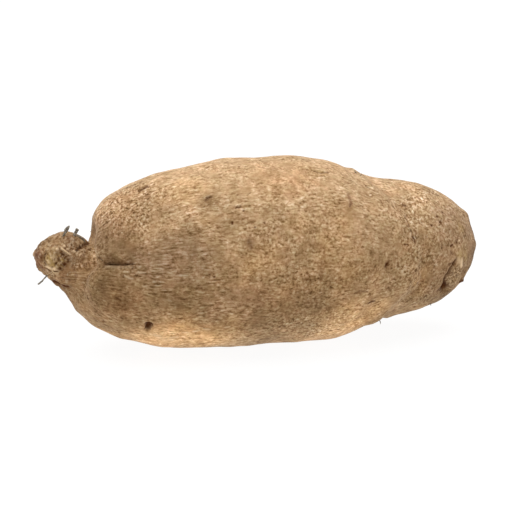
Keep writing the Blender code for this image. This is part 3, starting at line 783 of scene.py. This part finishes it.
# Blotches 5 mm wide are lighter and darker, patches 16 mm wide lean to grey, olive or pink,
# and specks 4 mm wide are a little pinker or more olive.
bark = tone.outputs[0]
for width, detail, roughness, distortion, stops in STAINS:
    stain = add_node(nt, "TexNoise", {
        "Vector": place_out, "Scale": 1 / width, "Detail": detail, "Roughness": roughness,
        "Distortion": distortion})
    stain_tint = add_node(nt, "ValToRGB", {0: stain.outputs[0]}, stops=stops)
    bark = add_node(nt, "Mix", {0: 1.0, 6: bark, 7: stain_tint.outputs[0]},
                    data_type="RGBA", blend_type="MULTIPLY").outputs[2]
# Each zone lightens, darkens or colours the bark as far as it reaches; dust and the lighter zones carry
# painted light, soil and mauve carry painted shade.
for name, tint in TINTS.items():
    shade = add_node(nt, "Mix", {0: share_in[name], 6: PLAIN, 7: tint},
                     data_type="RGBA", clamp_factor=False)
    bark = add_node(nt, "Mix", {0: 1.0, 6: bark, 7: shade.outputs[2]},
                    data_type="RGBA", blend_type="MULTIPLY").outputs[2]

# Speckles: brown pits 1 mm wide on the netted skin.
pits = add_node(nt, "TexVoronoi", {
    "Vector": place_out, "Scale": 1 / PIT_SPACING, "Randomness": 1.0})
pit_dark = add_node(nt, "MapRange", {
    "Value": pits.outputs["Distance"], "From Min": 0.10, "From Max": 0.28, "To Min": 0.34, "To Max": 0.0})
pit_share = add_node(nt, "Math", {0: pit_dark.outputs[0], 1: share_in["net"]}, operation="MULTIPLY")
bark = add_node(nt, "Mix", {0: pit_share.outputs[0], 6: bark, 7: GAP}, data_type="RGBA").outputs[2]

# What the marks show lies over the bark, painted shade and highlights among them.
for name, strength, colour in (("ochre", 0.75, OCHRE), ("rust", 0.7, RUST), ("pale_and_highlight", 0.6, PALE_FIBRE_AND_HIGHLIGHT),
                               ("cream_and_highlight", 0.95, CREAM), ("deep", 0.85, DARK_HOLE)):
    share = add_node(nt, "Math", {0: share_in[name], 1: strength}, operation="MULTIPLY")
    bark = add_node(nt, "Mix", {0: share.outputs[0], 6: bark, 7: colour}, data_type="RGBA").outputs[2]

# The fine loose cork catches light at the rim, as a faint sheen.
bump = add_node(nt, "Bump", {"Height": relief.outputs[0], "Strength": 1.0, "Distance": 0.0005})
surface = add_node(nt, "BsdfPrincipled", {
    "Base Color": bark, "Roughness": 0.9, "Specular IOR Level": 0.12, "Sheen Weight": 0.075,
    "Sheen Roughness": 0.5, "Normal": bump.outputs[0]})
add_node(nt, "OutputMaterial", {"Surface": surface.outputs[0]})

skin_tree = BVHTree.FromBMesh(skin)
skin_piece = new_piece("yam_skin", skin, [corky])
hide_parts("yam_tuber")
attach(skin_piece, "root")


# The dried root stubs.
# Thin roots sprouted all over the crown, dried and snapped off short, and a few of them still stand.
# They are hard and greyish brown, blade-like or round, and grew out of the crown.

rng = random.Random(7)


def grow_strand(maker, path, radii, facing, sides=6, flatten=1.0):
    """A closed strand through the path's points, squeezed to a blade that turns its flat to facing."""
    share_layer = maker.verts.layers.float.get("share") or maker.verts.layers.float.new("share")
    rings = []
    for i, point in enumerate(path):
        ahead = (path[min(i + 1, len(path) - 1)] - path[max(i - 1, 0)]).normalized()
        flat = (facing - ahead * facing.dot(ahead)).normalized()
        turn = Matrix((flat.cross(ahead), flat, ahead)).transposed().to_4x4()
        shape = Matrix.Diagonal((1.0, flatten, 1.0, 1.0))
        is_end = i in (0, len(path) - 1)
        made = bmesh.ops.create_circle(maker, cap_ends=is_end, radius=radii[i], segments=sides,
                                       matrix=Matrix.Translation(point) @ turn @ shape)
        verts = set(made["verts"])
        for vert in verts:
            vert[share_layer] = i / (len(path) - 1)
        rings.append([e for e in maker.edges if e.verts[0] in verts and e.verts[1] in verts])
    for one, other in zip(rings, rings[1:]):
        bmesh.ops.bridge_loops(maker, edges=one + other)


def bent_path(foot, tip, bend, steps, sink):
    """Points from just under the skin to the tip, bowed sideways by bend and a little crooked."""
    way = tip - foot
    side = way.cross(Vector((rng.uniform(-1, 1), rng.uniform(-1, 1), rng.uniform(-1, 1)))).normalized()
    path = [foot - way.normalized() * sink]
    for i in range(1, steps + 1):
        t = i / steps
        crook = Vector((rng.uniform(-1, 1), rng.uniform(-1, 1), rng.uniform(-1, 1))) * way.length * 0.02
        path.append(foot + way * t + side * bend * math.sin(math.pi * t) + crook * (t < 1))
    return path


BLADE = (0.5, 0.55, 0.85, 1.0, 0.95, 0.7, 0.3)         # the width from foot to tip
BLUNT = (0.9, 0.85, 0.85, 0.9, 0.95, 1.0, 0.85)
BLADE_LEAST = 0.52 * MM    # a root thicker than this dried to a blade
STUB_LEAST = 0.45 * MM
STUB_MOST = 1.25 * MM
STUB_SUNK = 2.5 * MM       # how deep it stands in the crown
FRONT = Vector((0.2, -1.0, 0.1))
stubs = bmesh.new()
for foot, tip, radius in root_places:
    if foot.y > -2 * MM:       # a root on the far side is snapped shorter
        tip = foot.lerp(tip, 0.75)
    path = bent_path(foot, tip, (tip - foot).length * rng.uniform(0.02, 0.08), 6, STUB_SUNK)
    wide = min(max(2.2 * radius, STUB_LEAST), STUB_MOST)
    profile = BLADE if radius > BLADE_LEAST else BLUNT
    radii = [wide * w * rng.uniform(0.93, 1.07) for w in profile]
    grow_strand(stubs, path, radii, FRONT, sides=8, flatten=0.6)
bmesh.ops.recalc_face_normals(stubs, faces=stubs.faces)

# Dried root: hard, greyish brown, darker than the skin, and mottled with specks of bark.
SPECK_WIDE = 0.0012        # in metres
dried = bpy.data.materials.new("dried root")
dried.use_nodes = True
nt = dried.node_tree
nt.nodes.clear()
place_in = add_node(nt, "TexCoord")
specks = add_node(nt, "TexNoise", {
    "Vector": place_in.outputs["Object"], "Scale": 1 / SPECK_WIDE, "Detail": 3.0})
tone = add_node(nt, "ValToRGB", {0: specks.outputs[0]}, stops=[
    (0.35, linear("#51483D")), (0.5, linear("#7A7062")), (0.66, linear("#A89D8C"))])
# The snapped ends are paler than the bark of the root.
share_along = add_node(nt, "Attribute", attribute_name="share")
snapped = add_node(nt, "MapRange", {
    "Value": share_along.outputs["Fac"], "From Min": 0.8, "From Max": 1.0, "To Min": 0.0, "To Max": 0.55})
tone = add_node(nt, "Mix", {
    0: snapped.outputs[0], 6: tone.outputs[0], 7: linear("#B9AE9E")}, data_type="RGBA")
bump = add_node(nt, "Bump", {"Height": specks.outputs[0], "Strength": 0.7, "Distance": 0.0003})
surface = add_node(nt, "BsdfPrincipled", {
    "Base Color": tone.outputs[2], "Roughness": 0.7, "Specular IOR Level": 0.3, "Normal": bump.outputs[0]})
add_node(nt, "OutputMaterial", {"Surface": surface.outputs[0]})

stub_piece = new_piece("root_stubs", stubs, [dried])
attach(stub_piece, "root")


# The fine roots.
# Hair roots break through the skin here and there, and dry to short bristles and curled threads.
# They are brown, a quarter to one millimetre thick, and grew out of the skin.

THREADS = (                # lines of millimetres along the skin, and the thread's radius
    (((-114.6, -9.2, 74.6), (-112.4, -9.6, 73.4), (-110.8, -9.9, 71.9), (-109.3, -10.2, 69.9)), 0.7),
    (((-123.9, -19.9, 69.8), (-122.2, -20.8, 68.2), (-120.6, -21.2, 66.6), (-118.8, -20.6, 64.8)), 0.27),
    (((-132.0, -19.8, 56.6), (-129.0, -20.6, 55.4), (-126.0, -20.6, 55.0)), 0.3),
)
HAIRS = (                  # foot, tip and radius in millimetres
    ((55.0, -6.0, 103.2), (54.2, -7.0, 106.0), 0.32),
    ((57.6, -7.0, 102.0), (58.6, -7.6, 104.0), 0.25),
    ((66.0, -25.0, 16.5), (66.6, -27.0, 13.6), 0.3),
    ((103.0, -12.0, 21.5), (103.6, -14.4, 19.4), 0.28),
)
STRAW_MOST = 0.5           # a thread thinner than this is pale straw
TAPER = (1.1, 1.0, 0.9, 0.7, 0.4)
FINE_TAPER = (1.1, 1.0, 0.9, 0.7, 0.35)
UNSEEN_HAIRS = 34
roots = bmesh.new()
for line, radius in THREADS:
    before = set(roots.faces)
    points = [Vector(p) * MM for p in line]
    path = []
    for i, point in enumerate(points):
        place, normal, _, _ = skin_tree.find_nearest(point)
        path.append(place + normal * (0.5 * radius * MM if 0 < i < len(points) - 1 else -0.3 * MM))
    middle = []
    for one, other in zip(path, path[1:]):
        place, normal, _, _ = skin_tree.find_nearest((one + other) / 2)
        middle += [one, place + normal * 0.6 * radius * MM]
    path = middle + [path[-1]]
    radii = [radius * MM * (0.6 + 0.4 * math.sin(math.pi * (i + 0.6) / len(path))) for i in range(len(path))]
    grow_strand(roots, path, radii, FRONT, sides=6)
    if radius < STRAW_MOST:
        for face in roots.faces:
            if face not in before:
                face.material_index = 1
for foot, tip, radius in HAIRS:
    foot = skin_tree.find_nearest(Vector(foot) * MM)[0]
    tip = Vector(tip) * MM
    path = bent_path(foot, tip, (tip - foot).length * 0.1, 4, 0.8 * MM)
    grow_strand(roots, path, [radius * MM * w for w in TAPER], FRONT, sides=5)

# A few more stand on the back and under the toe.
for _ in range(UNSEEN_HAIRS):
    along_body = rng.choice((rng.uniform(-0.115, -0.07), rng.uniform(0.06, 0.125), rng.uniform(-0.11, 0.12)))
    turn = rng.uniform(-0.35 * math.pi, 0.3 * math.pi)
    out = Vector((0, math.cos(turn), math.sin(turn)))
    hit = skin_tree.ray_cast(Vector((along_body, 0, 0.055)), out)
    if hit[0] is None or hit[0].z < 5 * MM:
        continue
    place, normal = hit[0], hit[1]
    length = rng.uniform(1.0, 2.6) * MM
    lean = (normal + Vector((rng.uniform(-1, 1), rng.uniform(-1, 1), rng.uniform(-1, 1))) * 0.8).normalized()
    radius = rng.uniform(0.16, 0.28) * MM
    path = bent_path(place, place + lean * length, length * rng.uniform(0.05, 0.25), 4, 0.6 * MM)
    grow_strand(roots, path, [radius * w for w in FINE_TAPER], Vector((0, 0, 1.0)), sides=5)
bmesh.ops.recalc_face_normals(roots, faces=roots.faces)

# Root thread: thinner than the dried roots, pale and straw coloured.
straw = bpy.data.materials.new("straw root thread")
straw.use_nodes = True
nt = straw.node_tree
nt.nodes.clear()
surface = add_node(nt, "BsdfPrincipled", {
    "Base Color": linear("#D9BC92"), "Roughness": 0.85, "Specular IOR Level": 0.1})
add_node(nt, "OutputMaterial", {"Surface": surface.outputs[0]})

root_piece = new_piece("fine_roots", roots, [dried, straw])
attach(root_piece, "root")


# The floor and the light.
# A white table that glows a little, under one wide soft light from above, so there is hardly any shadow.

floor_maker = bmesh.new()
bmesh.ops.create_grid(floor_maker, x_segments=1, y_segments=1, size=12.0)
white = bpy.data.materials.new("glowing white table")
white.use_nodes = True
nt = white.node_tree
nt.nodes.clear()
surface = add_node(nt, "BsdfPrincipled", {
    "Base Color": (0.1, 0.1, 0.1, 1.0), "Roughness": 1.0, "Specular IOR Level": 0.0,
    "Emission Color": (1.0, 1.0, 1.0, 1.0), "Emission Strength": 0.93})
add_node(nt, "OutputMaterial", {"Surface": surface.outputs[0]})
floor = new_piece("floor", floor_maker, [white])

# The room is white round the horizon and dimmer above, where the lamp is.
world = bpy.data.worlds.new("white room")
world.use_nodes = True
nt = world.node_tree
nt.nodes.clear()
way_in = add_node(nt, "TexCoord")
height = add_node(nt, "SeparateXYZ", {0: way_in.outputs["Generated"]})
strength = add_node(nt, "MapRange", {
    "Value": height.outputs["Z"], "From Min": 0.14, "From Max": 0.36, "To Min": 1.05, "To Max": 0.45})
glow = add_node(nt, "Background", {"Color": (1.0, 1.0, 1.0, 1.0), "Strength": strength.outputs[0]})
add_node(nt, "OutputWorld", {"Surface": glow.outputs[0]})
bpy.context.scene.world = world

lamp = bpy.data.lights.new("overhead_softbox", "SUN")
lamp.energy = 2.9
lamp.angle = math.radians(75)
light = bpy.data.objects.new("overhead_softbox", lamp)
light.rotation_euler = Vector((0.12, -0.12, -1.0)).to_track_quat("-Z", "Y").to_euler()
bpy.context.scene.collection.objects.link(light)


# The camera.
# It stands in front of the yam, a little above it and turned towards the crown end, with a long lens.

VIEW_TURN = math.radians(-12)
VIEW_RISE = math.radians(14)
VIEW_DISTANCE = 0.737
VIEW_AIM = Vector((-0.0060, 0.0, 0.0544))
back = Vector((math.sin(VIEW_TURN) * math.cos(VIEW_RISE),
               -math.cos(VIEW_TURN) * math.cos(VIEW_RISE),
               math.sin(VIEW_RISE)))
lens = bpy.data.cameras.new("camera")
lens.lens = 85
lens.sensor_width = 36
camera = bpy.data.objects.new("camera", lens)
camera.location = VIEW_AIM + back * VIEW_DISTANCE
camera.rotation_euler = (-back).to_track_quat("-Z", "Y").to_euler()
bpy.context.scene.collection.objects.link(camera)
bpy.context.scene.camera = camera
bpy.context.scene.view_settings.view_transform = "Standard"
